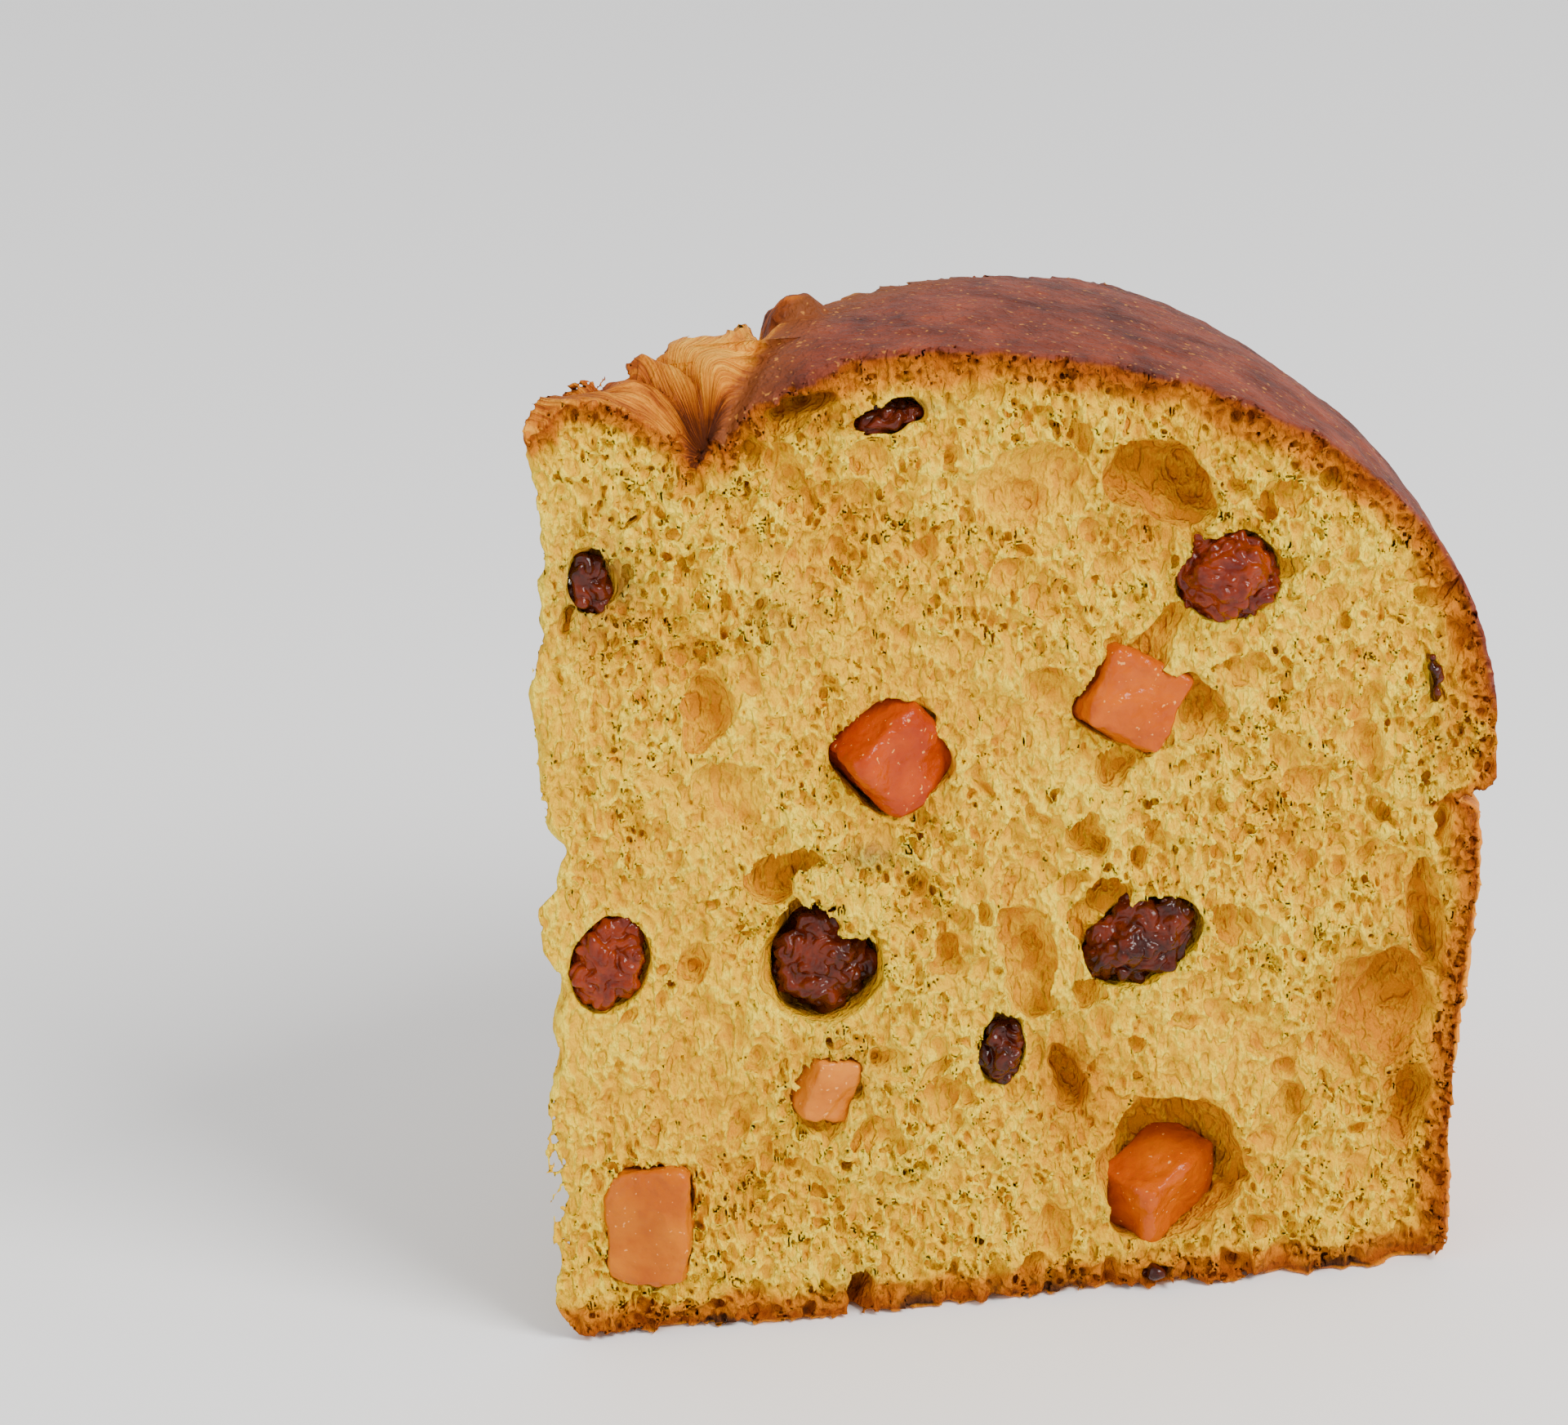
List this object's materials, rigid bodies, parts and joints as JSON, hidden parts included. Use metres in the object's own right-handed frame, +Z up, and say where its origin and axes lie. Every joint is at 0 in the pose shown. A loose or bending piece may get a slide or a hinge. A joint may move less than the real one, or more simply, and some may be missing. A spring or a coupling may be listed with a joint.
{
  "type": "panettone slice",
  "caption": "Wedge of panettone cut from rim to middle: domed brown crust, open golden crumb with raisins and candied orange peel, flat base to stand on.",
  "frame": {"origin": "bottom centre of the whole portion's box, on the plane it stands on", "axes": "+Z up the loaf's axis; +X from the middle of the loaf to its rim along the shown cut; -Y is the side of the shown cut"},
  "size_m": [0.1136, 0.0662, 0.1192],
  "materials": {
    "crumb": "matt open crumb, golden yellow; the baked outside is a dark brown crust",
    "raisin": "dark red-brown wrinkled skin with a soft gloss",
    "candied_peel": "clear orange, glossy with sugar syrup"
  },
  "bodies": {
    "root": {"bread": "crumb", "raisin_at_the_base": "raisin", "raisin_at_the_tip": "raisin", "raisin_back_high": "raisin", "raisin_back_low": "raisin", "raisin_back_rim": "raisin", "raisin_back_tip": "raisin", "raisin_by_the_dome": "raisin", "raisin_in_the_middle": "raisin", "raisin_long": "raisin", "raisin_sliver": "raisin", "raisin_small": "raisin", "raisin_torn": "raisin", "raisin_under_the_crust": "raisin", "peel_at_the_tip": "candied_peel", "peel_back_high": "candied_peel", "peel_back_rim": "candied_peel", "peel_back_tip": "candied_peel", "peel_dark": "candied_peel", "peel_in_the_hollow": "candied_peel", "peel_pale": "candied_peel", "peel_square": "candied_peel"}
  },
  "joints": []
}
